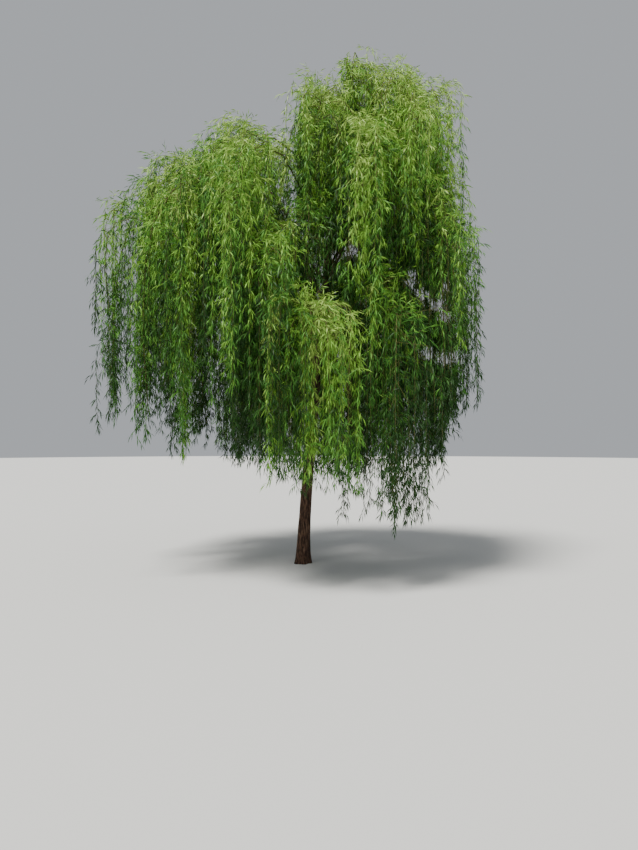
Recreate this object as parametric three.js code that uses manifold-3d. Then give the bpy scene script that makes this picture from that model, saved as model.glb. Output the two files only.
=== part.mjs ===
// A young weeping willow, about 7 m tall, rooted in level ground.
// Millimetres. +Z is up, +X is to the right and +Y away from someone who looks at the tree from the front.
// The origin is the middle of the flat cut under the trunk, at ground level.
// The trunk runs up through the crown. Each limb rises from it, arches over and hangs. The bare first stretch of
// a limb is a bough, and the rest of it is the stem of one mass of foliage.
import * as THREE from "three";
import { mergeVertices } from "three/addons/utils/BufferGeometryUtils.js";
import Module from "manifold-3d";

const wasm = await Module();
wasm.setup();

// Trunk
const TRUNK_HEIGHT = 6080; // from the flat cut to the tip
const TRUNK_RADIUS = 85; // above the root flare
const TIP_RADIUS = 12;
const TRUNK_TAPER = 0.85; // power of the taper
const LEAN = 0.0955; // sideways per unit of height
const FOOT_BEND = 60; // how far the foot bends back towards the vertical
const FOOT_BEND_HEIGHT = 1000;
const TIP_BEND = 220; // how far the tip bends back to the left
const TIP_BEND_FROM = 5200;
const WAVE = 26; // to the back and front
const WAVE_HEIGHT = 850;
const FLARE = 30; // extra radius of the root flare at the ground
const FLARE_HEIGHT = 220;
const ROOT_RIDGES = 5;
const RIDGE_DEPTH = 0.13; // share of the radius
const RIDGE_HEIGHT = 230;
const TRUNK_SIDES = 14;
const TRUNK_RINGS = 20;

// Limbs
const FOLIAGE_FROM = 0.62; // share of the way to a limb's highest point that is bare bough
const BOUGH_RADIUS = 9; // at the trunk, for a bough of no length
const BOUGH_RADIUS_PER_MM = 0.0085; // of the bough's length
const STEM_RADIUS = 12; // where a bough becomes a stem
const COLLAR = 0.35; // swelling of a bough where it leaves the trunk
const COLLAR_LENGTH = 110;
const BOUGH_SIDES = 6;
const BOUGH_RING_SPACING = 340;
const GAP = 0.35; // clear space between two solids that touch

// Foliage
const TWIG_RADIUS = 5.5;
const TIP_SHARE = 0.45; // radius at a twig's tip, as a share of that at its root
const TWIG_SIDES = 3;
const STEM_RING_SPACING = 500;
const TWIG_RING_SPACING = 850;
const LEAF_LENGTH = 900; // each leaf stands for a spray
const LEAF_WIDTH = 180;
const LEAF_THICKNESS = 18;
const WIDEST_AT = 0.36; // share of a leaf's length
const THICKEST_AT = 0.14;
const LEAF_SPACING = 740; // along a twig
const LEAF_SPLAY = 16; // degrees between leaf and twig
const FIRST_LEAF = 0.06; // share of a twig's length
const LAST_LEAF = 0.985;
const DROOP = 0.85; // 0 leaves point along their twig, 1 leaves hang
const TWIGS = 5; // to a mass
const TRIES = 40; // for a twig or leaf that stays in its own space
const SMALLEST = 0.55; // size of the last try, as a share of the first
const SPACE_MARGIN = 9; // kept inside a mass's own space
const CLEARANCE = 3; // between a twig or leaf and all that it doesn't grow on
const RAGGED = 420; // how much the ends of the twigs differ
const SHORTEST_HANG = 1000;
const LONGEST_HANG = 2700;
const SLIVER = 0.05; // edges shorter than this are closed up after joining

// The limbs, from the top down. bearing is the way a limb points, in degrees from +X towards +Y. root is the
// height at which it leaves the trunk, reach how far out it goes, crest its highest point, shoulder the height at
// which it has turned straight down, hem where its foliage ends, and spread how far its foliage goes to either side.
const LIMBS = [
  // name, bearing, root, reach, crest, shoulder, hem, spread
  ["top_left", 190, 6040, 160, 6720, 6300, 4800, 240],
  ["top", 322, 5880, 720, 6930, 6400, 4700, 460],
  ["top_back", 78, 5720, 800, 6850, 6200, 4200, 450],
  ["top_right", 355, 5570, 1450, 6720, 6200, 4200, 400],
  ["top_front", 256, 5420, 1000, 6250, 5700, 3900, 400],
  ["top_right_back", 38, 5280, 1500, 6700, 5900, 3900, 480],
  ["shoulder_left", 193, 5130, 1600, 5950, 5300, 3600, 480],
  ["top_right_front", 317, 4980, 1480, 6450, 5700, 3700, 440],
  ["back_high", 82, 4820, 1650, 6050, 5200, 3300, 500],
  ["shoulder_front", 293, 4670, 1500, 5600, 4900, 3200, 420],
  ["shoulder_back", 144, 4520, 1550, 6080, 5300, 3500, 480],
  ["right", 357, 4370, 1700, 5600, 4600, 2000, 380],
  ["front_left_high", 234, 4230, 1850, 5450, 4500, 2000, 500],
  ["right_back", 34, 4080, 2050, 5400, 4400, 1600, 500],
  ["middle_front", 256, 4005, 1250, 4700, 4100, 2900, 380],
  ["left", 181, 3940, 2950, 5600, 3800, 2000, 540],
  ["right_front", 323, 3800, 1800, 5050, 4200, 1500, 410],
  ["left_back", 156, 3650, 2650, 6150, 4500, 1800, 600],
  ["left_front", 209, 3500, 2450, 5150, 4100, 1700, 560],
  ["back_right", 72, 3350, 2250, 4950, 4000, 1400, 600],
  ["back_left", 107, 3200, 2350, 5000, 4100, 1600, 600],
  ["front_left", 248, 3050, 1800, 4300, 3600, 1350, 420],
  ["low_right", 342, 2910, 1550, 3900, 3200, 1250, 420],
  ["low_left", 190, 2770, 1800, 3900, 3200, 1500, 500],
  ["front_right", 303, 2630, 1800, 3800, 3100, 700, 430],
  ["low_back", 68, 2500, 1450, 3500, 2850, 1150, 500],
  ["low_left_back", 136, 2370, 1600, 3400, 2800, 1350, 500],
  ["front", 269, 2250, 1850, 3360, 2850, 1150, 600],
].map(([name, bearing, root, reach, crest, shoulder, hem, spread]) => {
  return { name, bearing, root, reach, crest, shoulder, hem, spread };
});

const DEGREE = Math.PI / 180;
const DOWN = new THREE.Vector3(0, 0, -1);

// Seeded random numbers, from 0 to 1
function randomFrom(seed) {
  let state = seed >>> 0;
  return () => {
    state = (state + 0x6d2b79f5) >>> 0;
    let mixed = Math.imul(state ^ (state >>> 15), state | 1);
    mixed = (mixed + Math.imul(mixed ^ (mixed >>> 7), mixed | 61)) ^ mixed;
    return ((mixed ^ (mixed >>> 14)) >>> 0) / 4294967296;
  };
}

function heading(degrees) {
  return new THREE.Vector3(Math.cos(degrees * DEGREE), Math.sin(degrees * DEGREE), 0);
}

function sideOf(bearing) {
  return heading(bearing + 90);
}

// The path of a limb or twig: up from start, over its highest point while it goes out by reach, straight down
// from the shoulder on, and down to its end.
function archingPath({ start, bearing, reach, crest, shoulder, end }) {
  const out = heading(bearing);
  const at = (share, height) => start.clone().addScaledVector(out, reach * share).setZ(height);
  const rise = crest - start.z;
  const drop = crest - shoulder;
  const points = [start, at(0.25, start.z + 0.58 * rise), at(0.63, crest), at(0.91, crest - 0.38 * drop)];
  points.push(at(1, shoulder), at(1.01, (shoulder + end) / 2), at(0.99, end));
  return new THREE.CatmullRomCurve3(points);
}

// The stretch of a curve between two shares of its length
class Stretch extends THREE.Curve {
  constructor(whole, from, to) {
    super();
    this.whole = whole;
    this.from = from;
    this.to = to;
  }

  getPoint(t, target = new THREE.Vector3()) {
    return this.whole.getPointAt(this.from + (this.to - this.from) * t, target);
  }
}

// Solids
function solidOf(geometry) {
  geometry.deleteAttribute("normal");
  geometry.deleteAttribute("uv");
  const merged = mergeVertices(geometry, 1e-3);
  const mesh = new wasm.Mesh({
    numProp: 3,
    vertProperties: new Float32Array(merged.getAttribute("position").array),
    triVerts: new Uint32Array(merged.index.array),
  });
  mesh.merge();
  return new wasm.Manifold(mesh);
}

function largestBody(solid) {
  return solid.decompose().reduce((most, piece) => (piece.volume() > most.volume() ? piece : most));
}

// The shares of a curve's length at which its rings lie, closer together at its start
function ringShares(rings, bunching) {
  return Array.from({ length: rings + 1 }, (_, i) => (i / rings) ** bunching);
}

// A cylinder bent along a curve in an upright plane. side is level and square to that plane. radiusAt takes a
// share of the curve's length.
function bentSolid(curve, side, radiusAt, sides, shares) {
  const rings = shares.length - 1;
  const geometry = new THREE.CylinderGeometry(1, 1, 1, sides, rings);
  const position = geometry.getAttribute("position");
  const spot = new THREE.Vector3();
  const other = new THREE.Vector3();
  for (let i = 0; i < position.count; i++) {
    const [x, y, z] = [position.getX(i), position.getY(i), position.getZ(i)];
    const share = shares[Math.round((y + 0.5) * rings)];
    const radius = radiusAt(share);
    curve.getPointAt(share, spot);
    other.crossVectors(side, curve.getTangentAt(share));
    spot.addScaledVector(side, x * radius).addScaledVector(other, z * radius);
    position.setXYZ(i, spot.x, spot.y, spot.z);
  }
  return solidOf(geometry);
}

// Trunk
function trunkAxis(height) {
  const foot = FOOT_BEND * (1 - Math.exp(-height / FOOT_BEND_HEIGHT));
  const tip = TIP_BEND * Math.max((height - TIP_BEND_FROM) / (TRUNK_HEIGHT - TIP_BEND_FROM), 0) ** 2;
  const back = WAVE * Math.sin(height / WAVE_HEIGHT);
  return new THREE.Vector3(LEAN * height - foot - tip, back, height);
}

function trunkRadius(height, angle) {
  const taper = (1 - Math.min(height / TRUNK_HEIGHT, 1)) ** TRUNK_TAPER;
  const plain = TIP_RADIUS + (TRUNK_RADIUS - TIP_RADIUS) * taper + FLARE * Math.exp(-height / FLARE_HEIGHT);
  const ridge = RIDGE_DEPTH * Math.exp(-height / RIDGE_HEIGHT) * Math.cos(ROOT_RIDGES * angle);
  const unround = 0.03 * Math.sin(2 * angle + height / 700) + 0.02 * Math.sin(3 * angle - height / 450);
  return plain * (1 + ridge + unround);
}

function trunkSolid(grown = 0) {
  const shares = ringShares(TRUNK_RINGS, 1.4);
  const geometry = new THREE.CylinderGeometry(1, 1, 1, TRUNK_SIDES, TRUNK_RINGS);
  const position = geometry.getAttribute("position");
  for (let i = 0; i < position.count; i++) {
    const [x, y, z] = [position.getX(i), position.getY(i), position.getZ(i)];
    const share = shares[Math.round((y + 0.5) * TRUNK_RINGS)];
    const height = TRUNK_HEIGHT * share;
    const radius = trunkRadius(height, Math.atan2(x, z)) + grown;
    const axis = trunkAxis(height);
    const end = share === 0 ? -grown : share === 1 ? grown : 0;
    position.setXYZ(i, axis.x + z * radius, axis.y + x * radius, height + end);
  }
  return solidOf(geometry);
}

// Boughs
function limbPath(limb) {
  const end = limb.hem + LEAF_LENGTH * 0.8;
  return archingPath({ ...limb, start: trunkAxis(limb.root), end: Math.min(end, limb.shoulder - 200) });
}

// The share of a limb's length that is bare bough
function bareShare(path) {
  const steps = 200;
  const heights = path.getSpacedPoints(steps).map((point) => point.z);
  return (FOLIAGE_FROM * heights.indexOf(Math.max(...heights))) / steps;
}

function boughSolid(limb, grownTrunk) {
  const whole = limbPath(limb);
  const path = new Stretch(whole, 0, bareShare(whole));
  const length = path.getLength();
  const root = BOUGH_RADIUS + BOUGH_RADIUS_PER_MM * length;
  const radiusAt = (share) => {
    const collar = 1 + COLLAR * Math.exp((-share * length) / COLLAR_LENGTH);
    return (root + (STEM_RADIUS - root) * share) * collar;
  };
  const rings = Math.max(3, Math.round(length / BOUGH_RING_SPACING));
  const solid = bentSolid(path, sideOf(limb.bearing), radiusAt, BOUGH_SIDES, ringShares(rings, 1.25));
  return largestBody(solid.subtract(grownTrunk));
}

// Foliage
// A stem or twig: its rings, and the points they lie round
function twigAlong(path, bearing, radius, ringSpacing) {
  const rings = Math.max(3, Math.round(path.getLength() / ringSpacing));
  const shares = ringShares(rings, 1.5);
  return { path, bearing, radius, shares, spots: shares.map((share) => path.getPointAt(share)) };
}

function stemOf(limb) {
  const whole = limbPath(limb);
  const path = new Stretch(whole, bareShare(whole) + GAP / whole.getLength(), 1);
  return twigAlong(path, limb.bearing, STEM_RADIUS, STEM_RING_SPACING);
}

function twigSolid(twig) {
  return bentSolid(twig.path, sideOf(twig.bearing), (share) => radiusOf(twig, share), TWIG_SIDES, twig.shares);
}

function radiusOf(twig, share) {
  return twig.radius * (1 - (1 - TIP_SHARE) * share);
}

// The middle of a twig's straight run between two rings
function spotOn(twig, share) {
  const next = Math.max(1, twig.shares.findIndex((ring) => ring >= share));
  const [from, to] = [twig.shares[next - 1], twig.shares[next]];
  return twig.spots[next - 1].clone().lerp(twig.spots[next], (share - from) / (to - from));
}

// The six corners of a leaf: its root, its tip, its two edges and its two faces
function leafCorners(root, direction, across, length) {
  const face = new THREE.Vector3().crossVectors(direction, across).normalize();
  const halfWidth = ((LEAF_WIDTH / 2) * length) / LEAF_LENGTH;
  const at = (share, side, sideways) => {
    return root.clone().addScaledVector(direction, length * share).addScaledVector(side, sideways);
  };
  return {
    root,
    tip: at(1, face, 0),
    edges: [at(WIDEST_AT, across, halfWidth), at(WIDEST_AT, across, -halfWidth)],
    faces: [at(THICKEST_AT, face, LEAF_THICKNESS / 2), at(THICKEST_AT, face, -LEAF_THICKNESS / 2)],
  };
}

// An octahedron whose corners along X, Y and Z become the leaf's edges, ends and faces. The faces change places
// where that would turn it inside out.
function leafSolid({ root, tip, edges, faces }) {
  const geometry = new THREE.OctahedronGeometry(1, 0);
  const position = geometry.getAttribute("position");
  for (let i = 0; i < position.count; i++) {
    const [x, y, z] = [position.getX(i), position.getY(i), position.getZ(i)].map(Math.round);
    let corner = y > 0 ? tip : root;
    if (x !== 0) corner = edges[x > 0 ? 0 : 1];
    if (z !== 0) corner = faces[z > 0 ? 0 : 1];
    position.setXYZ(i, corner.x, corner.y, corner.z);
  }
  const solid = solidOf(geometry);
  return solid.volume() > 0 ? solid : leafSolid({ root, tip, edges, faces: [faces[1], faces[0]] });
}

// Each mass has the space that is nearer to its own stem than to any other.
const stemLines = LIMBS.map((limb) => stemOf(limb).path.getSpacedPoints(16));

function distanceTo(line, point) {
  const nearest = new THREE.Vector3();
  const run = new THREE.Line3();
  let least = Infinity;
  for (let i = 1; i < line.length; i++) {
    run.set(line[i - 1], line[i]).closestPointToPoint(point, true, nearest);
    least = Math.min(least, nearest.distanceTo(point));
  }
  return least;
}

function isOwn(index, point) {
  const own = distanceTo(stemLines[index], point);
  return stemLines.every((line, i) => i === index || distanceTo(line, point) > own + 2 * SPACE_MARGIN);
}

function boxesNear(a, b, distance) {
  const reachesTo = (from, to, axis) => from.min[axis] - distance < to.max[axis];
  return [0, 1, 2].every((axis) => reachesTo(a, b, axis) && reachesTo(b, a, axis));
}

function isClearOf(solid, others) {
  const box = solid.boundingBox();
  const near = others.filter((other) => boxesNear(box, other.boundingBox(), CLEARANCE));
  return near.every((other) => solid.minGap(other, CLEARANCE) >= CLEARANCE);
}

// A twig leaves its stem to the left or right, arches over and hangs by itself.
function twigOn(stem, limb, order, size, random) {
  const start = spotOn(stem, 0.02 + (0.5 * (order + 0.8 * random())) / TWIGS);
  const side = order % 2 ? 1 : -1;
  const bearing = limb.bearing + side * (20 + 90 * random());
  const reach = limb.spread * size * (0.4 + 0.7 * random());
  const shoulder = start.z - reach * (0.4 + 0.5 * random());
  const hang = SHORTEST_HANG + (LONGEST_HANG - SHORTEST_HANG) * size * random();
  const end = Math.max(limb.hem + LEAF_LENGTH * 0.8 + RAGGED * random(), shoulder - hang);
  const path = archingPath({ start, bearing, reach, crest: start.z + 20 + 90 * random(), shoulder, end });
  return twigAlong(path, bearing, TWIG_RADIUS, TWIG_RING_SPACING);
}

function leafOn(twig, share, splay, size, random) {
  const tangent = twig.path.getTangentAt(share).lerp(DOWN, DROOP).normalize();
  const aside = new THREE.Vector3(1, 0, 0).cross(tangent).normalize();
  aside.applyAxisAngle(tangent, 360 * random() * DEGREE);
  const hinge = new THREE.Vector3().crossVectors(tangent, aside);
  const direction = tangent.clone().applyAxisAngle(hinge, splay * (0.7 + 0.6 * random()) * DEGREE);
  const across = new THREE.Vector3().crossVectors(direction, aside).normalize();
  across.applyAxisAngle(direction, (random() - 0.5) * 90 * DEGREE);
  const root = spotOn(twig, share).addScaledVector(aside, -0.25 * radiusOf(twig, share));
  return leafCorners(root, direction, across, LEAF_LENGTH * size * (0.8 + 0.35 * random()));
}

// add is called with a size that shrinks from 1, until what it tries to add fits.
function tryToAdd(add) {
  for (let i = 0; i < TRIES; i++) {
    if (add(1 - (1 - SMALLEST) * (i / TRIES))) return;
  }
}

// One mass of foliage. A twig or leaf is tried again, smaller, until it stays in the mass's own space and
// touches nothing but what it grows on.
function foliageSolid(limb, index, obstacles) {
  const random = randomFrom(1000 + 7 * index);
  const stem = stemOf(limb);
  const twigs = [stem];
  const wood = [twigSolid(stem)];
  const leaves = [];

  const addTwig = (order, size) => {
    const twig = twigOn(stem, limb, order, size, random);
    const hanging = twig.path.getSpacedPoints(10).slice(2);
    if (!hanging.every((point) => isOwn(index, point))) return false;
    const solid = twigSolid(twig);
    if (!isClearOf(solid, [...obstacles, ...wood.slice(1)])) return false;
    twigs.push(twig);
    wood.push(solid);
    return true;
  };

  const addLeaf = (order, share, splay, size) => {
    const corners = leafOn(twigs[order], share, splay, size, random);
    if (![corners.tip, ...corners.edges].every((point) => isOwn(index, point))) return false;
    const solid = leafSolid(corners);
    const otherWood = wood.filter((_, i) => i !== order);
    if (!isClearOf(solid, [...obstacles, ...otherWood, ...leaves])) return false;
    leaves.push(solid);
    return true;
  };

  for (let order = 0; order < TWIGS; order++) tryToAdd((size) => addTwig(order, size));
  twigs.forEach((twig, order) => {
    const count = Math.max(1, Math.round((twig.path.getLength() * (1 - FIRST_LEAF)) / LEAF_SPACING));
    for (let i = 0; i <= count; i++) {
      const share = Math.min(FIRST_LEAF + ((1 - FIRST_LEAF) * i) / count, LAST_LEAF);
      tryToAdd((size) => addLeaf(order, share, i === count ? LEAF_SPLAY * 0.3 : LEAF_SPLAY, size));
    }
  });
  return largestBody(wasm.Manifold.union([...wood, ...leaves]).simplify(SLIVER));
}

// The tree
function meshOf(name, solid, material) {
  const { vertProperties, triVerts } = solid.getMesh();
  const geometry = new THREE.BufferGeometry();
  geometry.setAttribute("position", new THREE.BufferAttribute(new Float32Array(vertProperties), 3));
  geometry.setIndex(new THREE.BufferAttribute(new Uint32Array(triVerts), 1));
  geometry.computeVertexNormals();
  const mesh = new THREE.Mesh(geometry, material);
  mesh.name = name;
  return mesh;
}

const bark = new THREE.MeshStandardMaterial({ color: 0x5d4030, roughness: 0.9, metalness: 0 });
const youngBark = new THREE.MeshStandardMaterial({ color: 0x5a5238, roughness: 0.85, metalness: 0 });
const leafGreen = new THREE.MeshStandardMaterial({ color: 0x6f9a35, roughness: 0.6, metalness: 0 });

const trunk = trunkSolid();
const grownTrunk = trunkSolid(GAP);
const boughs = LIMBS.map((limb) => boughSolid(limb, grownTrunk));
const stems = LIMBS.map((limb) => twigSolid(stemOf(limb)));
const masses = [];
LIMBS.forEach((limb, i) => {
  const otherStems = stems.filter((_, other) => other !== i);
  masses.push(foliageSolid(limb, i, [trunk, ...boughs, ...otherStems, ...masses]));
});

const tree = new THREE.Group();
tree.add(meshOf("trunk", trunk, bark));
LIMBS.forEach((limb, i) => {
  const whole = new THREE.Group();
  whole.add(meshOf(`bough_${limb.name}`, boughs[i], youngBark));
  whole.add(meshOf(`foliage_${limb.name}`, masses[i], leafGreen));
  tree.add(whole);
});

export default tree;
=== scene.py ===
import math
from collections import namedtuple

import bpy
import numpy as np
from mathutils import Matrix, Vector


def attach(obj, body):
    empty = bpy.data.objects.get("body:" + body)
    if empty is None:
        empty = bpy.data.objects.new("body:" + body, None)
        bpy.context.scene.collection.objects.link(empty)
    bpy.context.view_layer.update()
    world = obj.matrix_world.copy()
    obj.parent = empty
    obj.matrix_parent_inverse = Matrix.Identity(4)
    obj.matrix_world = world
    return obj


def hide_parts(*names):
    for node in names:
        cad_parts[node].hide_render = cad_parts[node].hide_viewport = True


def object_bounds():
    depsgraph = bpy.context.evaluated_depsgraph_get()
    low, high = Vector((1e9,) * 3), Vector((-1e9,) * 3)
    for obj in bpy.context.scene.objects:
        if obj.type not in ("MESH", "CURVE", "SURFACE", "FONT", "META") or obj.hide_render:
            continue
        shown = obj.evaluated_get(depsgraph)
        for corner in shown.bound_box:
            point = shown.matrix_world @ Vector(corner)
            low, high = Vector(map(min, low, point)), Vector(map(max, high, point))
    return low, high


# A young weeping willow in full leaf, about 7 m tall.
# Metres, in the frame of the solids. +Z is up, +X is to the picture's right and +Y away from its camera.
# Each limb rises from the trunk, arches over and hangs. Its bare first stretch is a bough, and the rest is
# the stem of a mass of foliage: branches leave the stem, withes leave the stem and the branches, and shoots
# leave all three, by the rule that the solids follow. Leaves grow on the shoots and on what carries them.
# Two values in brackets are a range, from its start to its end.

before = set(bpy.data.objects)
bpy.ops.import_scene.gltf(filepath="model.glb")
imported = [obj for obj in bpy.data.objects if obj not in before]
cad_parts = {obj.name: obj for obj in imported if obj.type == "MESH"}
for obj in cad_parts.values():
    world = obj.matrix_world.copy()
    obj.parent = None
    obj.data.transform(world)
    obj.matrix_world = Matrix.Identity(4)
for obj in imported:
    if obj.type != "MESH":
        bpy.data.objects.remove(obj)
solid_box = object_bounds()

DOWN = np.array([0.0, 0.0, -1.0])
DEGREE = math.pi / 180
FULL_TURN = 2 * math.pi
GOLDEN_ANGLE = 137.5 * DEGREE
NEARLY_NOTHING = 1e-9
SMALLEST_GAP = 1e-3
LINE_STEPS = 6
SWAY_TURNS = (0.9, 2.1, 4.3)

# Trunk
TRUNK_HEIGHT = 6.08
TRUNK_RADIUS = 0.085
TIP_RADIUS = 0.012
TRUNK_TAPER = 0.85
LEAN = 0.0955
FOOT_BEND = 0.06
FOOT_BEND_HEIGHT = 1.0
TIP_BEND = 0.22
TIP_BEND_FROM = 5.2
WAVE = 0.026
WAVE_HEIGHT = 0.85
FLARE = 0.03
FLARE_HEIGHT = 0.22
ROOT_RIDGES = 5
RIDGE_DEPTH = 0.13
RIDGE_HEIGHT = 0.23
OVAL_DEPTH = 0.03
OVAL_TWIST_HEIGHT = 0.7
LOBE_DEPTH = 0.02
LOBE_TWIST_HEIGHT = 0.45
TRUNK_SIDES = 96
TRUNK_RINGS = 220
RING_BUNCHING = 1.5

# Bark relief. The waves' numbers are radians for each metre up the wood.
BARK_RELIEF = 0.0055
BARK_RIDGES = 18
BOUGH_RELIEF = 0.05
BOUGH_RIDGES = 8
SLOW_WANDER = 0.5
SLOW_WANDER_WAVE = 2.6
QUICK_WANDER = 0.3
QUICK_WANDER_WAVE = 7.3
WANDER_STRETCH = 4
FINE_WANDER = 1.7
FINE_WANDER_WAVE = 5.1
PLATE_LEVEL = 0.75
PLATE_SHARE = 1.3
FINE_SHARE = 0.5
BREAK_SHARE = 0.18
BREAK_WAVE = 23
BREAK_WANDER = 2.5
BREAK_WANDER_WAVE = 3

# Limbs. An arch's corners are given by shares of its reach, of its rise and of its drop.
ARCH_REACHES = np.array([0, 0.25, 0.63, 0.91, 1, 1.01, 0.99])
RISE_SHARE = 0.58
DROP_SHARE = 0.38
LIMB_STEPS = 20
STEM_ABOVE_HEM = 0.72
SHORTEST_STEM_DROP = 0.2
FOLIAGE_FROM = 0.62
BOUGH_RADIUS = 0.009
BOUGH_RADIUS_PER_M = 0.0085
STEM_RADIUS = 0.012
COLLAR = 0.35
COLLAR_LENGTH = 0.11
BOUGH_SIDES = 8
BOUGH_RING_SPACING = 0.06

# The space of a mass. Its wood may be nearer to another stem than to its own by MINGLE at most.
MINGLE = 0.3
TRUNK_CLEARANCE = 0.13
REACH_INSIDE = 0.02
STEM_POINTS = 24
TESTED_FROM = 0.25
TESTED_POINTS = 6
TRIES = 12
SMALLEST = 0.45
FIRST_SEED = 1000
SEED_STEP = 7

# Branches. Reach is a share of the mass's spread, and sag a share of the reach.
BRANCHES_PER_M = 33
DENSER = {"left": 1.4, "left_back": 1.15}
FINE_STEM_POINTS = 60
FIRST_BRANCH = 0.01
BRANCHED_SHARE = 0.55
BRANCH_SHIFT = 0.8
BRANCH_TURN = (20, 130)
BRANCH_REACH = (0.3, 1.05)
BRANCH_SAG = (0.4, 0.9)
BRANCH_RISE = (0.02, 0.11)
SHORTEST_HANG = 1.0
LONGEST_HANG = 2.7
HEM_CLEARANCE = 0.1
RAGGED = 0.42
STEM_HANG = 0.55
STEM_HANG_FROM = 0.5
BRANCH_SWAY = 0.03
BRANCH_RADIUS = 0.0055
BRANCH_RINGS = 10
BRANCH_SIDES = 4
TIP_SHARE = 0.35

# Withes. Those near a branch's root arch out, and the others hang close to it.
WITHE_SPACING = 0.33
FEWEST_WITHES = 2
TOP_WITHES = 2.4
FIRST_WITHE = 0.02
WITHED_SHARE = 0.88
WITHE_BUNCHING = 1.3
WITHE_FAN = 270 * DEGREE
ARCHING_UNTIL = 0.5
ARCHING_FADE = 0.3
WITHE_REACH = (0.025, 0.11)
ARCHING_REACH = (0.06, 0.42)
LEAST_RISE = 0.1
WITHE_RISE = 0.3
ARCHING_RISE = 0.1
WITHE_SAG = (0.5, 1.2)
WITHE_HANG = (0.45, 2.05)
WITHE_HEM_RISE = 0.55
SHORTEST_WITHE_DROP = 0.12
WITHE_STEPS = 2
WITHE_SWAY = 0.02
WITHE_RADIUS = 0.0026
WITHE_RINGS = 5
WITHE_RING_BUNCHING = 0.8
WITHE_SIDES = 3
CARRIER_POINTS = 25

# Shoots
SHOOT_SPACING = 0.098
SHOOTS_BETWEEN = (0.03, 0.97)
SHOOT_SCATTER = 0.5
SHOOT_LEAN = (20, 55)
ROOT_LEAN = 30
SHOOT_DROOP = 0.12
SHOOT_LENGTH = (0.05, 0.16)
SHOOT_SIZE = (1.2, 0.7)
SHOOT_RADIUS = 0.0014
SHOOT_SIDES = 3
SHOOTS_BEYOND = 0.09
BARE_ENDED = 0.05
BARE_FROM = 0.6

# Leaves. Each has a corner on its left and one on its right, at these shares of its length.
LEFT_CORNER_AT = 0.36
RIGHT_CORNER_AT = 0.44
LEAF_LENGTH = 0.1
LEAF_WIDTH = 0.012
LENGTH_RANGE = (0.75, 1.2)
WIDTH_RANGE = (0.8, 1.15)
LEAF_BEND = 0.16
LEAF_DROOP = 0.22
LEAF_TWIST = 0.3
LEAVES_BEYOND = 0.13
LEAVES_PER_SHOOT = 6
SHOOT_LEAF_SPLAY = (22, 50)
TIP_LEAF_SPLAY = 6
WITHE_LEAF_SPACING = 0.031
FEWEST_LEAVES = 3
WITHE_LEAVES_BETWEEN = (0.02, 0.995)
WITHE_LEAF_SHIFT = 0.7
WITHE_LEAF_SPLAY = (20, 48)
WITHE_LEAF_SCATTER = 0.4

# Leaf colours, with light and shade painted into them. The painted light on a spray grows with its height
# and towards the outside, and picks the colour.
TONE_STEPS = [0.36, 0.54, 0.72, 0.98]
CROWN_FOOT = 1.0
CROWN_HEIGHT = 6.0
LIGHT_UP_MASS = 0.14
LIGHT_ON_CAP = 0.34
CAP_DEPTH = 3.0
LIGHT_UP_CROWN = 0.5
LIGHT_OUTWARD = 0.2
MOST_SHARE = 1.1
TRESS_CONTRAST = 0.18
WITHE_CONTRAST = 0.1
SPRAY_CONTRAST = 0.09
# Painted light for each of these whole masses: more where the number is above nought, painted shade where it
# is below
MORE_LIGHT = {
    "top": 0.1,
    "top_left": 0.08,
    "top_right": 0.05,
    "top_right_front": 0.03,
    "top_front": 0.03,
    "shoulder_left": -0.04,
    "shoulder_front": -0.06,
    "left": -0.02,
    "left_front": -0.04,
    "left_back": -0.03,
    "front_left_high": 0.05,
    "middle_front": -0.2,
    "right": -0.07,
    "right_front": -0.16,
    "low_right": -0.12,
    "low_left": -0.1,
    "front_left": -0.08,
    "front_right": -0.13,
    "front": 0.22,
}

# Openings with hardly any leaves, as the eye sees them from the front. Each is an oval, by its middle's
# x and z and its half width and half height in the plane of the trunk. Sky shows through those of the whole
# crown. Those of one mass part its hanging tresses.
EYE = np.array([0.23, -9.0, 1.72])
CROWN_OPENINGS = [
    (0.48, 4.36, 0.12, 0.13),
    (0.70, 4.45, 0.17, 0.22),
    (1.52, 4.03, 0.15, 0.24),
    (1.69, 3.80, 0.20, 0.15),
    (1.90, 3.66, 0.24, 0.20),
    (2.02, 3.50, 0.19, 0.15),
    (2.03, 3.93, 0.10, 0.18),
    (1.78, 2.99, 0.19, 0.14),
    (2.02, 2.91, 0.26, 0.16),
]
MASS_OPENINGS = {
    "front": [(0.22, 2.45, 0.09, 0.75), (0.66, 2.35, 0.08, 0.75), (-0.17, 1.9, 0.06, 0.4)],
    "left_front": [(-1.10, 3.4, 0.13, 1.1), (-1.55, 3.2, 0.10, 1.0)],
}
LEFT_IN_OPENING = 0.03
OPENING_EDGE = 3

# Bark: the colours of its furrows, its plates and its palest plates, the grain's scale along the height as
# a share of its scale across, the scale across, and the depth of the relief
Bark = namedtuple("Bark", "furrow plate pale stretch grain depth")
BARKS = {
    "bark": Bark((0.016, 0.009, 0.006), (0.105, 0.056, 0.034), (0.23, 0.145, 0.10), 0.14, 60, 0.006),
    "bough": Bark((0.02, 0.014, 0.008), (0.07, 0.05, 0.026), (0.13, 0.10, 0.055), 0.4, 60, 0.002),
    "twig": Bark((0.07, 0.07, 0.02), (0.14, 0.14, 0.04), (0.22, 0.2, 0.07), 0.5, 30, 0.0005),
}
BARK_ROUGHNESS = 0.85
BARK_GLOSS = 0.25
FURROW_AT, PLATE_AT, PALE_AT = 0.42, 0.54, 0.7
GRAIN_DETAIL = 8
GRAIN_ROUGHNESS = 0.65
BUMP_STRENGTH = 0.7
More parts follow.
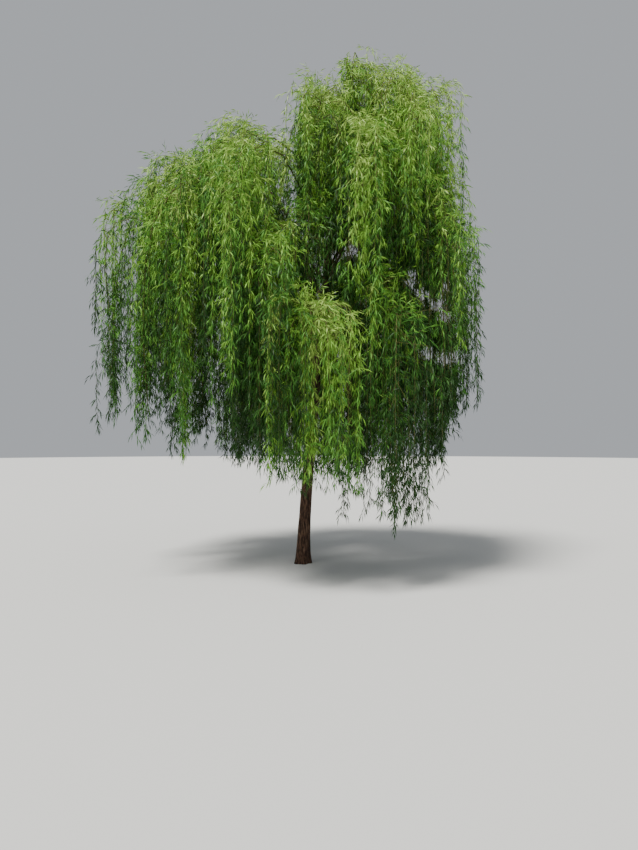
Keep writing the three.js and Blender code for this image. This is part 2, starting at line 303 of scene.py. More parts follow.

# Leaf colours from dark to light, each with its roughness and gloss. They are one green in painted shade, in
# painted half light and in painted sunlight, with pale painted glints where the light is brightest.
LEAF_COLOURS = {
    "leaf_painted_shade": ((0.014, 0.052, 0.007), 0.55, 0.2),
    "leaf_mid": ((0.040, 0.132, 0.016), 0.55, 0.2),
    "leaf_half_lit": ((0.096, 0.262, 0.031), 0.55, 0.2),
    "leaf_sunlit": ((0.205, 0.420, 0.050), 0.55, 0.2),
    "leaf_painted_glint": ((0.320, 0.500, 0.090), 0.5, 0.25),
}

# Studio
FLOOR_RADIUS = 60.0
FLOOR_SIDES = 96
FLOOR_COLOUR = (0.6, 0.6, 0.585)
FLOOR_ROUGHNESS = 0.9
FLOOR_GLOSS = 0.1
SKY_COLOUR = (0.86, 0.90, 0.95)
SKY_STRENGTH = 0.5
KEY_ENERGY = 5.8
KEY_ANGLE = 18
KEY_COLOUR = (1.0, 0.98, 0.93)
KEY_DIRECTION = (0.4, 0.42, -1.3)
CAMERA_LENS = 27.1
SENSOR_WIDTH = 36
CAMERA_PITCH = 91.34
CAMERA_FARTHEST = 500

Limb = namedtuple("Limb", "name bearing root reach crest shoulder hem spread")
LIMBS = [
    Limb(*row)
    for row in [
        ("top_left", 190, 6.04, 0.16, 6.72, 6.3, 4.8, 0.24),
        ("top", 322, 5.88, 0.72, 6.93, 6.4, 4.7, 0.46),
        ("top_back", 78, 5.72, 0.8, 6.85, 6.2, 4.2, 0.45),
        ("top_right", 355, 5.57, 1.45, 6.72, 6.2, 4.2, 0.4),
        ("top_front", 256, 5.42, 1.0, 6.25, 5.7, 3.9, 0.4),
        ("top_right_back", 38, 5.28, 1.5, 6.7, 5.9, 3.9, 0.48),
        ("shoulder_left", 193, 5.13, 1.6, 5.95, 5.3, 3.6, 0.48),
        ("top_right_front", 317, 4.98, 1.48, 6.45, 5.7, 3.7, 0.44),
        ("back_high", 82, 4.82, 1.65, 6.05, 5.2, 3.3, 0.5),
        ("shoulder_front", 293, 4.67, 1.5, 5.6, 4.9, 3.2, 0.42),
        ("shoulder_back", 144, 4.52, 1.55, 6.08, 5.3, 3.5, 0.48),
        ("right", 357, 4.37, 1.7, 5.6, 4.6, 2.0, 0.38),
        ("front_left_high", 234, 4.23, 1.85, 5.45, 4.5, 2.0, 0.5),
        ("right_back", 34, 4.08, 2.05, 5.4, 4.4, 1.6, 0.5),
        ("middle_front", 256, 4.005, 1.25, 4.7, 4.1, 2.9, 0.38),
        ("left", 181, 3.94, 2.95, 5.6, 3.8, 2.0, 0.54),
        ("right_front", 323, 3.8, 1.8, 5.05, 4.2, 1.5, 0.41),
        ("left_back", 156, 3.65, 2.65, 6.15, 4.5, 1.8, 0.6),
        ("left_front", 209, 3.5, 2.45, 5.15, 4.1, 1.7, 0.56),
        ("back_right", 72, 3.35, 2.25, 4.95, 4.0, 1.4, 0.6),
        ("back_left", 107, 3.2, 2.35, 5.0, 4.1, 1.6, 0.6),
        ("front_left", 248, 3.05, 1.8, 4.3, 3.6, 1.35, 0.42),
        ("low_right", 342, 2.91, 1.55, 3.9, 3.2, 1.25, 0.42),
        ("low_left", 190, 2.77, 1.8, 3.9, 3.2, 1.5, 0.5),
        ("front_right", 303, 2.63, 1.8, 3.8, 3.1, 0.7, 0.43),
        ("low_back", 68, 2.5, 1.45, 3.5, 2.85, 1.15, 0.5),
        ("low_left_back", 136, 2.37, 1.6, 3.4, 2.8, 1.35, 0.5),
        ("front", 269, 2.25, 1.85, 3.36, 2.85, 1.15, 0.6),
    ]
]


# Lines

def between(span, share):
    """The value at a share of the way from the first value of a range to the second."""
    return span[0] + (span[1] - span[0]) * share


def heading(bearing):
    return np.stack([np.cos(bearing), np.sin(bearing), np.zeros_like(bearing)], axis=-1)


def unit(vectors):
    return vectors / np.maximum(np.linalg.norm(vectors, axis=-1, keepdims=True), NEARLY_NOTHING)


def arch_corners(start, bearing, reach, crest, shoulder, end):
    """The corners of arching paths: up from start, over the crest, down past the shoulder to the end."""
    rise = crest - start[:, 2]
    drop = crest - shoulder
    heights = [
        start[:, 2],
        start[:, 2] + RISE_SHARE * rise,
        crest,
        crest - DROP_SHARE * drop,
        shoulder,
        (shoulder + end) / 2,
        end,
    ]
    corners = start[:, None] + heading(bearing)[:, None] * (reach[:, None] * ARCH_REACHES)[..., None]
    corners[..., 2] = np.stack(heights, axis=1)
    return corners


def smooth_lines(corners, steps=LINE_STEPS):
    """Centripetal Catmull-Rom lines through rows of corners."""
    first = 2 * corners[:, :1] - corners[:, 1:2]
    last = 2 * corners[:, -1:] - corners[:, -2:-1]
    p = np.concatenate([first, corners, last], axis=1)
    p0, p1, p2, p3 = p[:, :-3], p[:, 1:-2], p[:, 2:-1], p[:, 3:]
    gaps = np.sqrt(np.linalg.norm(np.diff(p, axis=1), axis=-1, keepdims=True))
    gaps = np.maximum(gaps, SMALLEST_GAP)
    d0, d1, d2 = gaps[:, :-2], gaps[:, 1:-1], gaps[:, 2:]
    leaving = d1 * ((p1 - p0) / d0 - (p2 - p0) / (d0 + d1) + (p2 - p1) / d1)
    coming = d1 * ((p2 - p1) / d1 - (p3 - p1) / (d1 + d2) + (p3 - p2) / d2)
    u = (np.arange(steps) / steps)[None, None, :, None]
    p1, p2, leaving, coming = (a[:, :, None] for a in (p1, p2, leaving, coming))
    curve = (
        p1
        + leaving * u
        + (3 * (p2 - p1) - 2 * leaving - coming) * u**2
        + (2 * (p1 - p2) + leaving + coming) * u**3
    )
    return np.concatenate([curve.reshape(len(p), -1, 3), corners[:, -1:]], axis=1)


def lengths_along(lines):
    steps = np.linalg.norm(np.diff(lines, axis=1), axis=-1)
    return np.concatenate([np.zeros((len(lines), 1)), np.cumsum(steps, axis=1)], axis=1)


def points_at(lines, rows, shares):
    """The points and directions at shares of the lengths of the lines in these rows."""
    along = lengths_along(lines)
    along = along / along[:, -1:]
    after = np.clip((along[rows] < shares[:, None]).sum(axis=1), 1, lines.shape[1] - 1)
    low, high = along[rows, after - 1], along[rows, after]
    start, end = lines[rows, after - 1], lines[rows, after]
    share = ((shares - low) / np.maximum(high - low, NEARLY_NOTHING))[:, None]
    return start + (end - start) * share, unit(end - start)


def resampled(lines, shares):
    rows = np.repeat(np.arange(len(lines)), len(shares))
    points, _ = points_at(lines, rows, np.tile(shares, len(lines)))
    return points.reshape(len(lines), len(shares), 3)


def spaced(lines, spacing, fewest):
    """How many things this far apart each line holds, the line of each thing, and its order on its line."""
    counts = np.maximum(fewest, (lengths_along(lines)[:, -1] / spacing).astype(int))
    return counts, *rows_and_orders(counts)


def rows_and_orders(counts):
    return np.repeat(np.arange(len(counts)), counts), np.concatenate([np.arange(n) for n in counts])


def swayed(lines, amount, rng):
    """Lines that wander sideways the more, the further they are from their start."""
    share = np.linspace(0, 1, lines.shape[1])[None, :, None]
    wander = np.zeros_like(lines)
    for turns in SWAY_TURNS:
        phase = rng.uniform(0, FULL_TURN, (len(lines), 1, 2))
        strength = amount / turns * rng.normal(0, 1, (len(lines), 1, 2))
        wander[..., :2] += strength * (np.sin(FULL_TURN * turns * share + phase) - np.sin(phase))
    return lines + wander * share**0.5


def turned_aside(azimuth, tangent):
    """Directions square to each tangent, on the side that the azimuth points to."""
    level = heading(azimuth)
    return unit(level - (level * tangent).sum(axis=1)[:, None] * tangent)


def leaning(tangent, aside, lean, droop):
    """Directions that lean from each tangent to one side, and droop a little."""
    direction = tangent * np.cos(lean)[:, None] + aside * np.sin(lean)[:, None]
    return unit(direction + droop * DOWN)


# Meshes

class Gathered:
    """Points and triangles gathered for one mesh, with the material of each triangle."""

    def __init__(self):
        self.points, self.faces, self.slots = [], [], []
        self.count = 0

    def add(self, points, faces, slots=0):
        self.points.append(points.reshape(-1, 3))
        self.faces.append(faces.reshape(-1, 3) + self.count)
        self.slots.append(np.broadcast_to(slots, (faces.size // 3,)))
        self.count += points.size // 3

    def add_copies(self, points, faces, slots=0):
        """Adds rows of points that all have the same faces."""
        offsets = np.arange(len(points))[:, None, None] * points.shape[1]
        self.add(points, faces[None] + offsets, slots)

    def piece(self, name, materials):
        points = np.concatenate(self.points).astype(np.float32)
        faces = np.concatenate(self.faces).astype(np.int32)
        mesh = bpy.data.meshes.new(name)
        mesh.vertices.add(len(points))
        mesh.vertices.foreach_set("co", points.ravel())
        mesh.loops.add(faces.size)
        mesh.loops.foreach_set("vertex_index", faces.ravel())
        mesh.polygons.add(len(faces))
        mesh.polygons.foreach_set("loop_start", np.arange(0, faces.size, 3, dtype=np.int32))
        for material in materials:
            mesh.materials.append(material)
        mesh.polygons.foreach_set("material_index", np.concatenate(self.slots).astype(np.int32))
        mesh.polygons.foreach_set("use_smooth", np.ones(len(faces), dtype=bool))
        mesh.update(calc_edges=True)
        mesh.validate()
        made = bpy.data.objects.new(name, mesh)
        bpy.context.scene.collection.objects.link(made)
        return made


def ring_angles(sides):
    return FULL_TURN * np.arange(sides) / sides


def tube_faces(rings, sides):
    side = np.arange(sides)
    turned = (side + 1) % sides
    faces = []
    for ring in range(rings - 1):
        low, high = ring * sides, (ring + 1) * sides
        faces.append(np.stack([low + side, low + turned, high + turned], axis=1))
        faces.append(np.stack([low + side, high + turned, high + side], axis=1))
    return np.concatenate(faces)


def fan_faces(ring, sides, tip):
    """Triangles from a ring up to the single point with the number tip."""
    side = np.arange(sides)
    turned = (side + 1) % sides
    return np.stack([ring * sides + side, ring * sides + turned, np.full(sides, tip)], axis=1)


def closed_tube(name, skin, top, foot, material):
    """A piece with a skin of rings that is closed by one point at its top and one at its foot."""
    rings, sides = skin.shape[:2]
    points = np.concatenate([skin.reshape(-1, 3), [top, foot]])
    top_fan = fan_faces(rings - 1, sides, rings * sides)
    foot_fan = fan_faces(0, sides, rings * sides + 1)[:, [1, 0, 2]]
    gathered = Gathered()
    gathered.add(points, np.concatenate([tube_faces(rings, sides), top_fan, foot_fan]))
    return gathered.piece(name, [material])


def add_tubes(gathered, lines, radii, sides, across):
    """Tubes round lines that end in a point. across is level, and square to each line's plane."""
    rings = lines.shape[1] - 1
    tangent = unit(np.gradient(lines, axis=1))
    other = unit(np.cross(across[:, None], tangent))
    aside = unit(np.cross(tangent, other))
    angle = ring_angles(sides)
    round_it = (
        aside[:, :, None] * np.cos(angle)[None, None, :, None]
        + other[:, :, None] * np.sin(angle)[None, None, :, None]
    )
    skin = lines[:, :, None] + round_it * radii[:, :, None, None]
    body = skin[:, :-1].reshape(len(lines), -1, 3)
    faces = [fan_faces(rings - 1, sides, rings * sides)]
    if rings > 1:
        faces.insert(0, tube_faces(rings, sides))
    gathered.add_copies(np.concatenate([body, lines[:, -1:]], axis=1), np.concatenate(faces))


def add_leaves(gathered, roots, directions, across, lengths, widths, tones):
    """Lance-shaped leaves that bend down towards their tips."""
    bend = unit(DOWN - (directions @ DOWN)[:, None] * directions)

    def at(share, sideways):
        middle = roots + directions * (lengths * share)[:, None]
        middle = middle + bend * (LEAF_BEND * lengths * share**2)[:, None]
        return middle + across * (0.5 * widths * sideways)[:, None]

    left, right = at(LEFT_CORNER_AT, 1.0), at(RIGHT_CORNER_AT, -1.0)
    points = np.stack([at(0.0, 0.0), left, right, at(1.0, 0.0)], axis=1)
    faces = np.array([[0, 2, 1], [1, 2, 3]])
    kept = within_reach(points[:, 3], LEAVES_BEYOND)
    gathered.add_copies(points[kept], faces, np.repeat(tones[kept], len(faces)))


# Materials

def shader_of(material):
    return material.node_tree.nodes["Principled BSDF"]


def new_material(name, colour, roughness, gloss):
    material = bpy.data.materials.new(name)
    material.use_nodes = True
    shader = shader_of(material)
    shader.inputs["Base Color"].default_value = (*colour, 1)
    shader.inputs["Roughness"].default_value = roughness
    shader.inputs["Specular IOR Level"].default_value = gloss
    return material


def add_node(material, kind, values=()):
    node = material.node_tree.nodes.new(kind)
    for name, value in dict(values).items():
        node.inputs[name].default_value = value
    return node


def bark_colours(material, bark):
    """A ramp from the furrows' colour to the palest plates'."""
    ramp = add_node(material, "ShaderNodeValToRGB")
    low, high = ramp.color_ramp.elements
    low.position = FURROW_AT
    low.color = (*bark.furrow, 1)
    high.position = PLATE_AT
    high.color = (*bark.plate, 1)
    palest = ramp.color_ramp.elements.new(PALE_AT)
    palest.color = (*bark.pale, 1)
    return ramp


def bark_material(name, bark):
    material = new_material(name, bark.plate, BARK_ROUGHNESS, BARK_GLOSS)
    link = material.node_tree.links.new
    place = add_node(material, "ShaderNodeTexCoord")
    mapping = add_node(material, "ShaderNodeMapping", {"Scale": (1, 1, bark.stretch)})
    link(place.outputs["Object"], mapping.inputs["Vector"])
    values = {"Scale": bark.grain, "Detail": GRAIN_DETAIL, "Roughness": GRAIN_ROUGHNESS}
    grain = add_node(material, "ShaderNodeTexNoise", values)
    link(mapping.outputs["Vector"], grain.inputs["Vector"])
    ramp = bark_colours(material, bark)
    link(grain.outputs["Fac"], ramp.inputs["Fac"])
    link(ramp.outputs["Color"], shader_of(material).inputs["Base Color"])
    relief = add_node(material, "ShaderNodeBump", {"Strength": BUMP_STRENGTH, "Distance": bark.depth})
    link(grain.outputs["Fac"], relief.inputs["Height"])
    link(relief.outputs["Normal"], shader_of(material).inputs["Normal"])
    return material


MATERIALS = {name: bark_material(name, bark) for name, bark in BARKS.items()}
LEAF_MATERIALS = [new_material(name, *look) for name, look in LEAF_COLOURS.items()]


# Trunk and boughs

def trunk_axis(height):
    foot = FOOT_BEND * (1 - np.exp(-height / FOOT_BEND_HEIGHT))
    tip = TIP_BEND * np.maximum((height - TIP_BEND_FROM) / (TRUNK_HEIGHT - TIP_BEND_FROM), 0) ** 2
    return np.stack([LEAN * height - foot - tip, WAVE * np.sin(height / WAVE_HEIGHT), height], axis=-1)


def trunk_radius(height, angle):
    taper = (1 - np.minimum(height / TRUNK_HEIGHT, 1)) ** TRUNK_TAPER
    plain = TIP_RADIUS + (TRUNK_RADIUS - TIP_RADIUS) * taper + FLARE * np.exp(-height / FLARE_HEIGHT)
    ridge = RIDGE_DEPTH * np.exp(-height / RIDGE_HEIGHT) * np.cos(ROOT_RIDGES * angle)
    oval = OVAL_DEPTH * np.sin(2 * angle + height / OVAL_TWIST_HEIGHT)
    lobes = LOBE_DEPTH * np.sin(3 * angle - height / LOBE_TWIST_HEIGHT)
    return plain * (1 + ridge + (oval + lobes))


def bark_relief(angle, height, ridges):
    """From about -1 in a furrow to 0.7 on a plate. The furrows run up the wood, wander and join."""
    slow = SLOW_WANDER * np.sin(SLOW_WANDER_WAVE * height + 1)
    quick = QUICK_WANDER * np.sin(QUICK_WANDER_WAVE * height + 2 * np.sin(angle))
    furrows = np.abs(np.sin(ridges * 0.5 * (angle + (slow + quick) / ridges * WANDER_STRETCH)))
    finer = np.abs(np.sin(ridges * angle + FINE_WANDER * np.sin(FINE_WANDER_WAVE * height + angle)))
    breaks = np.sin(BREAK_WAVE * height + BREAK_WANDER * np.sin(2 * angle + BREAK_WANDER_WAVE * height))
    return PLATE_SHARE * np.minimum(furrows, PLATE_LEVEL) + FINE_SHARE * finer + BREAK_SHARE * breaks - 1


def make_trunk():
    height = (TRUNK_HEIGHT * np.linspace(0, 1, TRUNK_RINGS) ** RING_BUNCHING)[:, None]
    angle = ring_angles(TRUNK_SIDES)[None, :]
    plain = trunk_radius(height, angle)
    radius = plain + BARK_RELIEF * bark_relief(angle, height, BARK_RIDGES) * (plain / TRUNK_RADIUS)
    skin = trunk_axis(height) + heading(angle) * radius[..., None]
    skin[..., 2] = height
    top, foot = trunk_axis(np.array([TRUNK_HEIGHT, 0.0]))
    top[2] += TIP_RADIUS
    return closed_tube("trunk_bark", skin, top, foot, MATERIALS["bark"])


def limb_line(limb):
    end = min(limb.hem + STEM_ABOVE_HEM, limb.shoulder - SHORTEST_STEM_DROP)
    start = trunk_axis(np.array([limb.root]))
    values = [np.array([v], float) for v in (limb.reach, limb.crest, limb.shoulder, end)]
    corners = arch_corners(start, np.array([limb.bearing * DEGREE]), *values)
    return smooth_lines(corners, LIMB_STEPS)


def bare_share(line):
    """The share of a limb's length that is bare bough."""
    along = lengths_along(line)[0]
    return FOLIAGE_FROM * along[line[0, :, 2].argmax()] / along[-1]


def make_bough(limb, line):
    bare = bare_share(line)
    length = bare * lengths_along(line)[0, -1]
    shares = np.linspace(0, 1, int(length / BOUGH_RING_SPACING))
    path = resampled(line, shares * bare)
    root = BOUGH_RADIUS + BOUGH_RADIUS_PER_M * length
    collar = 1 + COLLAR * np.exp(-shares * length / COLLAR_LENGTH)
    radii = (root + (STEM_RADIUS - root) * shares) * collar
    across = heading(np.array([(limb.bearing + 90) * DEGREE]))
    other = unit(np.cross(across, unit(np.gradient(path, axis=1))[0]))
    angle = ring_angles(BOUGH_SIDES)[None, :]
    relief = bark_relief(angle, (shares * length)[:, None] + limb.root, BOUGH_RIDGES)
    radius = radii[:, None] * (1 + BOUGH_RELIEF * relief)
    skin = (
        path[0][:, None]
        + across[:, None] * (np.cos(angle) * radius)[..., None]
        + other[:, None] * (np.sin(angle) * radius)[..., None]
    )
    return closed_tube(f"bough_bark_{limb.name}", skin, path[0, -1], path[0, 0], MATERIALS["bough"])


# The space of each mass

LINES = {limb.name: limb_line(limb) for limb in LIMBS}


def stem_line(limb, points):
    line = LINES[limb.name]
    return resampled(line, np.linspace(bare_share(line), 1, points))


STEMS = np.concatenate([stem_line(limb, STEM_POINTS) for limb in LIMBS])


def within_reach(points, beyond):
    """Which points are inside the box of the solids, or no further outside it than beyond."""
    low, high = (np.array(corner) for corner in solid_box)
    return ((points > low - beyond) & (points < high + beyond)).all(axis=-1)


def left_bare(points, name, rng):
    """Which points of a mass stay bare in the openings: nearly all in the middle, fewer to the edge."""
    nearness = (points[:, 1] - EYE[1]) / -EYE[1]
    across = EYE[0] + (points[:, 0] - EYE[0]) / nearness
    up = EYE[2] + (points[:, 2] - EYE[2]) / nearness
    leafy = np.ones(len(points))
    for x, z, half_width, half_height in CROWN_OPENINGS + MASS_OPENINGS.get(name, []):
        off = np.hypot((across - x) / half_width, (up - z) / half_height)
        leafy = np.minimum(leafy, np.clip(off, 0, 1) ** OPENING_EDGE)
    return rng.random(len(points)) > LEFT_IN_OPENING + (1 - LEFT_IN_OPENING) * leafy


def stays_in(lines, index):
    """Which lines stay in their own mass's space, clear of the trunk and inside the box of the solids."""
    points = resampled(lines, np.linspace(TESTED_FROM, 1, TESTED_POINTS))
    apart = np.linalg.norm(points[:, :, None, None] - STEMS[None, None], axis=-1).min(axis=-1)
    own = apart[:, :, index]
    nearest = np.delete(apart, index, axis=2).min(axis=-1)
    to_trunk = np.linalg.norm((points - trunk_axis(points[..., 2]))[..., :2], axis=-1)
    fits = (own < nearest + MINGLE) & (to_trunk > TRUNK_CLEARANCE) & within_reach(points, -REACH_INSIDE)
    return fits.all(axis=1)


def grown(count, make, index, rng):
    """count lines, each tried again, smaller, until it stays in its mass's own space. Some find no place."""
    kept = None
    waiting = np.arange(count)
    found = np.zeros(count, dtype=bool)
    for attempt in range(TRIES):
        size = 1 - (1 - SMALLEST) * attempt / TRIES
        lines, bearing = make(waiting, size, rng)
        if kept is None:
            kept = np.zeros((count,) + lines.shape[1:])
            bearings = np.zeros(count)
        fits = stays_in(lines, index)
        kept[waiting[fits]] = lines[fits]
        bearings[waiting[fits]] = bearing[fits]
        found[waiting[fits]] = True
        waiting = waiting[~fits]
        if not len(waiting):
            break
    return kept[found], bearings[found], found


# Wood in the foliage

def branches_of(limb, index, rng):
    """The stem, drawn on in a curve, and the branches that leave it, with their bearings."""
    stem = stem_line(limb, FINE_STEM_POINTS)
    count = round(BRANCHES_PER_M * limb.spread * DENSER.get(limb.name, 1))

    def make(orders, size, rng):
        draw = rng.random((6, len(orders)))
        share = FIRST_BRANCH + BRANCHED_SHARE * (orders + BRANCH_SHIFT * draw[0]) / count
        start, _ = points_at(stem, np.zeros(len(orders), dtype=int), share)
        side = np.where(orders % 2 == 1, 1, -1)
        bearing = (limb.bearing + side * between(BRANCH_TURN, draw[1])) * DEGREE
        reach = limb.spread * size * between(BRANCH_REACH, draw[2])
        shoulder = start[:, 2] - reach * between(BRANCH_SAG, draw[3])
        hang = SHORTEST_HANG + (LONGEST_HANG - SHORTEST_HANG) * size * draw[4]
        lowest = limb.hem + HEM_CLEARANCE + RAGGED * rng.random(len(orders))
        end = np.maximum(lowest, shoulder - hang)
        crest = start[:, 2] + between(BRANCH_RISE, draw[5])
        return smooth_lines(arch_corners(start, bearing, reach, crest, shoulder, end)), bearing

    lines, bearings, _ = grown(count, make, index, rng)
    share = np.linspace(0, 1, lines.shape[1])
    stem = resampled(stem, share)
    stem[..., 2] -= STEM_HANG * np.clip((share - STEM_HANG_FROM) / (1 - STEM_HANG_FROM), 0, 1) ** 2
    lines = np.concatenate([stem, lines])
    bearings = np.concatenate([[limb.bearing * DEGREE], bearings])
    return swayed(lines, BRANCH_SWAY, rng), bearings


def withes_of(limb, index, branches, bearings, rng):
    """The withes, with their bearings and the branch that each of them leaves."""
    counts, _, _ = spaced(branches, WITHE_SPACING, FEWEST_WITHES)
    counts[0] = int(counts[0] * TOP_WITHES)
    rows, order = rows_and_orders(counts)
    per_row = counts[rows]

    def make(which, size, rng):
        draw = rng.random((7, len(which)))
        row = rows[which]
        along = ((order[which] + draw[0]) / per_row[which]) ** WITHE_BUNCHING
        share = FIRST_WITHE + WITHED_SHARE * along
        start, _ = points_at(branches, row, share)
        bearing = bearings[row] + (draw[1] - 0.5) * WITHE_FAN
        arching = np.clip((ARCHING_UNTIL - share) / ARCHING_FADE, 0, 1)
        reach = size * (between(WITHE_REACH, draw[2]) + arching * between(ARCHING_REACH, draw[2]))
        crest = start[:, 2] + reach * (LEAST_RISE + (WITHE_RISE + ARCHING_RISE * arching) * draw[3])
        shoulder = start[:, 2] - reach * between(WITHE_SAG, draw[4])
        hang = between(WITHE_HANG, draw[5] ** WITHE_BUNCHING)
        end = np.maximum(limb.hem + WITHE_HEM_RISE * draw[6] ** 2, shoulder - hang)
        end = np.minimum(end, shoulder - SHORTEST_WITHE_DROP)
        corners = arch_corners(start, bearing, reach, crest, shoulder, end)
        return smooth_lines(corners, WITHE_STEPS), bearing

    lines, bearing, found = grown(len(rows), make, index, rng)
    return swayed(lines, WITHE_SWAY, rng), bearing, rows[found]


def carriers_of(branches, withes):
    """The lines that carry shoots and leaves: the branches, and the withes on them."""
    shares = np.linspace(0, 1, CARRIER_POINTS)
    return np.concatenate([resampled(branches, shares), resampled(withes, shares)])


Shoots = namedtuple("Shoots", "rows roots directions lengths ends")


def shoots_of(carriers, bare, name, rng):
    """Short side shoots, with the line that each of them grows on. Some lines are bare towards their end."""
    counts, rows, order = spaced(carriers, SHOOT_SPACING, 1)
    share = (order + rng.random(len(rows))) / counts[rows]
    roots, tangent = points_at(carriers, rows, np.clip(share, *SHOOTS_BETWEEN))
    aside = turned_aside(order * GOLDEN_ANGLE + rng.normal(0, SHOOT_SCATTER, len(rows)), tangent)
    lean = (rng.uniform(*SHOOT_LEAN, len(rows)) + ROOT_LEAN * (1 - share) ** 2) * DEGREE
    directions = leaning(tangent, aside, lean, SHOOT_DROOP)
    lengths = rng.uniform(*SHOOT_LENGTH, len(rows)) * between(SHOOT_SIZE, share)
    ends = roots + directions * lengths[:, None]
    kept = within_reach(ends, SHOOTS_BEYOND)
    kept &= ~(bare[rows] & (share > BARE_FROM))
    kept &= ~left_bare(roots + directions * lengths[:, None] / 2, name, rng)
    return Shoots(rows[kept], roots[kept], directions[kept], lengths[kept], ends[kept])


def add_wood(twigs, lines, bearings, shares, radii, sides):
    """Tapering tubes for branches or withes, through the points at these shares of their lengths."""
    taper = 1 - (1 - TIP_SHARE) * shares[None]
    across = heading(bearings + math.pi / 2)
    add_tubes(twigs, resampled(lines, shares), radii[:, None] * taper, sides, across)


def add_shoots(twigs, shoots, rng):
    lines = np.stack([shoots.roots, shoots.ends], axis=1)
    level = heading(rng.uniform(0, FULL_TURN, len(lines)))
    add_tubes(twigs, lines, np.full((len(lines), 2), SHOOT_RADIUS), SHOOT_SIDES, level)


# Leaves

def blades(tangent, azimuth, splay, rng):
    """The directions, breadths and sizes of leaves that leave a twig."""
    aside = turned_aside(azimuth, tangent)
    direction = leaning(tangent, aside, splay, LEAF_DROOP)
    across = unit(np.cross(direction, aside + LEAF_TWIST * rng.normal(0, 1, aside.shape)))
    length = LEAF_LENGTH * rng.uniform(*LENGTH_RANGE, len(tangent))
    width = LEAF_WIDTH * rng.uniform(*WIDTH_RANGE, len(tangent))
    return direction, across, length, width


def painted_light_tone_of(points, limb, bias, rng):
    """Which leaf colour each spray has: painted light and shade by its height in the mass and in the crown
    and by how far out it is, and tone that differs by chance.
    """
    height = (points[:, 2] - CROWN_FOOT) / CROWN_HEIGHT
    own_height = (points[:, 2] - limb.hem) / (limb.crest - limb.hem)
    from_trunk = np.linalg.norm((points - trunk_axis(points[:, 2]))[:, :2], axis=1)
    outward = np.clip(from_trunk / (limb.reach + limb.spread), 0, MOST_SHARE)
    # Painted light: less low in each mass, low in the crown and near the trunk, and more on each mass's cap
    cap = np.clip(own_height, 0, MOST_SHARE) ** CAP_DEPTH
    light = LIGHT_UP_MASS * own_height + LIGHT_ON_CAP * cap
    light = light + LIGHT_UP_CROWN * height + LIGHT_OUTWARD * outward + MORE_LIGHT.get(limb.name, 0.0)
    return np.digitize(light + bias + rng.normal(0, SPRAY_CONTRAST, len(points)), TONE_STEPS)


def add_shoot_leaves(leaves, shoots, limb, bias, rng):
    """Leaves along each shoot, the last one at its tip and nearly in line with it."""
    tone = painted_light_tone_of(shoots.ends, limb, bias[shoots.rows], rng)
    shoot = np.repeat(np.arange(len(shoots.rows)), LEAVES_PER_SHOOT)
    order = np.tile(np.arange(LEAVES_PER_SHOOT), len(shoots.rows))
    share = (order + 1) / LEAVES_PER_SHOOT
    direction = shoots.directions[shoot]
    base = shoots.roots[shoot] + direction * (shoots.lengths[shoot] * share)[:, None]
    at_tip = order == LEAVES_PER_SHOOT - 1
    splay = np.where(at_tip, TIP_LEAF_SPLAY, rng.uniform(*SHOOT_LEAF_SPLAY, len(shoot))) * DEGREE
    azimuth = rng.uniform(0, FULL_TURN, len(shoots.rows))[shoot] + order * GOLDEN_ANGLE
    add_leaves(leaves, base, *blades(direction, azimuth, splay, rng), tone[shoot])


def add_carrier_leaves(leaves, carriers, bare, limb, bias, rng):
    """Leaves straight on the branches and the withes."""
    counts, row, order = spaced(carriers, WITHE_LEAF_SPACING, FEWEST_LEAVES)
    share = (order + WITHE_LEAF_SHIFT * rng.random(len(row))) / counts[row]
    share = np.clip(share, *WITHE_LEAVES_BETWEEN)
    base, tangent = points_at(carriers, row, share)
    leafy = ~(bare[row] & (share > BARE_FROM)) & ~left_bare(base, limb.name, rng)
    row, order, base, tangent = row[leafy], order[leafy], base[leafy], tangent[leafy]
    splay = rng.uniform(*WITHE_LEAF_SPLAY, len(row)) * DEGREE
    azimuth = order * GOLDEN_ANGLE + rng.normal(0, WITHE_LEAF_SCATTER, len(row))
    blade = blades(tangent, azimuth, splay, rng)
    add_leaves(leaves, base, *blade, painted_light_tone_of(base, limb, bias[row], rng))


# The tree

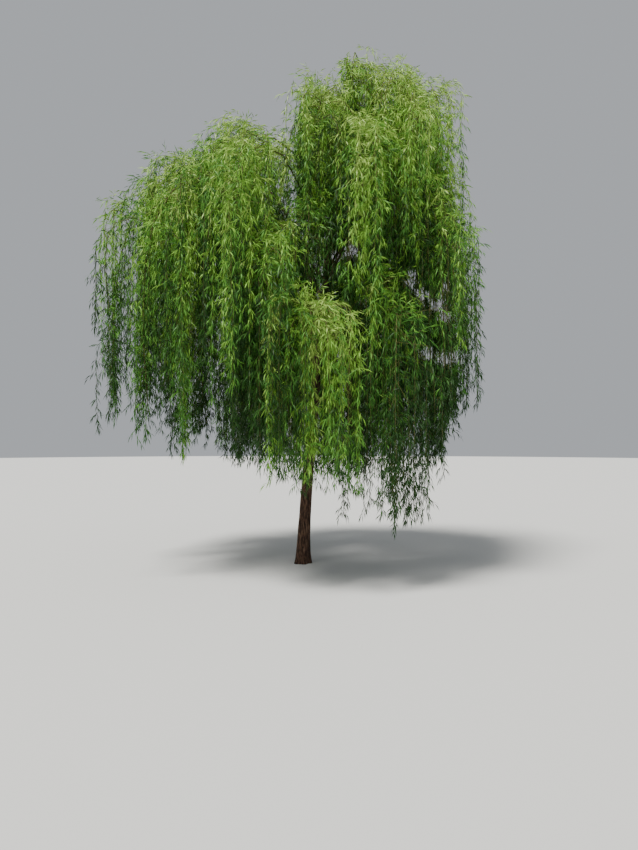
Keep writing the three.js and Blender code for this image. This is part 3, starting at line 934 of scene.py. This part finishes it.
def make_foliage(limb, index):
    rng = np.random.default_rng(FIRST_SEED + SEED_STEP * index)
    branches, branch_bearings = branches_of(limb, index, rng)
    withes, withe_bearings, tress = withes_of(limb, index, branches, branch_bearings, rng)
    carriers = carriers_of(branches, withes)
    bare = rng.random(len(carriers)) < BARE_ENDED
    shoots = shoots_of(carriers, bare, limb.name, rng)

    twigs = Gathered()
    radii = np.full(len(branches), BRANCH_RADIUS)
    radii[0] = STEM_RADIUS
    add_wood(twigs, branches, branch_bearings, np.linspace(0, 1, BRANCH_RINGS), radii, BRANCH_SIDES)
    radii = np.full(len(withes), WITHE_RADIUS)
    shares = np.linspace(0, 1, WITHE_RINGS) ** WITHE_RING_BUNCHING
    add_wood(twigs, withes, withe_bearings, shares, radii, WITHE_SIDES)
    add_shoots(twigs, shoots, rng)

    leaves = Gathered()
    tress = np.concatenate([np.arange(len(branches)), tress])
    bias = rng.normal(0, TRESS_CONTRAST, len(branches))[tress]
    bias = bias + rng.normal(0, WITHE_CONTRAST, len(carriers))
    add_shoot_leaves(leaves, shoots, limb, bias, rng)
    add_carrier_leaves(leaves, carriers, bare, limb, bias, rng)
    twig_piece = twigs.piece(f"twigs_{limb.name}", [MATERIALS["twig"]])
    leaf_piece = leaves.piece(f"leaves_{limb.name}", LEAF_MATERIALS)
    return twig_piece, leaf_piece


def put_in_place(piece, node):
    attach(piece, "root")
    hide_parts(node)


def make_tree():
    put_in_place(make_trunk(), "trunk")
    for index, limb in enumerate(LIMBS):
        put_in_place(make_bough(limb, LINES[limb.name]), f"bough_{limb.name}")
        twigs, leaves = make_foliage(limb, index)
        put_in_place(twigs, f"foliage_{limb.name}")
        put_in_place(leaves, f"foliage_{limb.name}")


# Studio

def make_floor():
    bpy.ops.mesh.primitive_circle_add(vertices=FLOOR_SIDES, radius=FLOOR_RADIUS, fill_type="NGON")
    floor = bpy.context.object
    floor.name = "floor"
    floor.data.materials.append(new_material("floor", FLOOR_COLOUR, FLOOR_ROUGHNESS, FLOOR_GLOSS))


def make_light():
    world = bpy.data.worlds.new("studio")
    bpy.context.scene.world = world
    world.use_nodes = True
    background = world.node_tree.nodes["Background"]
    background.inputs["Color"].default_value = (*SKY_COLOUR, 1)
    background.inputs["Strength"].default_value = SKY_STRENGTH
    sun = bpy.data.lights.new("key", "SUN")
    sun.energy = KEY_ENERGY
    sun.angle = KEY_ANGLE * DEGREE
    sun.color = KEY_COLOUR
    key = bpy.data.objects.new("key", sun)
    key.rotation_euler = Vector(KEY_DIRECTION).to_track_quat("-Z", "Y").to_euler()
    bpy.context.scene.collection.objects.link(key)


def make_camera():
    data = bpy.data.cameras.new("camera")
    data.lens = CAMERA_LENS
    data.sensor_width = SENSOR_WIDTH
    data.clip_end = CAMERA_FARTHEST
    camera = bpy.data.objects.new("camera", data)
    camera.location = EYE
    camera.rotation_euler = (CAMERA_PITCH * DEGREE, 0, 0)
    bpy.context.scene.collection.objects.link(camera)
    bpy.context.scene.camera = camera


make_tree()
make_floor()
make_light()
make_camera()
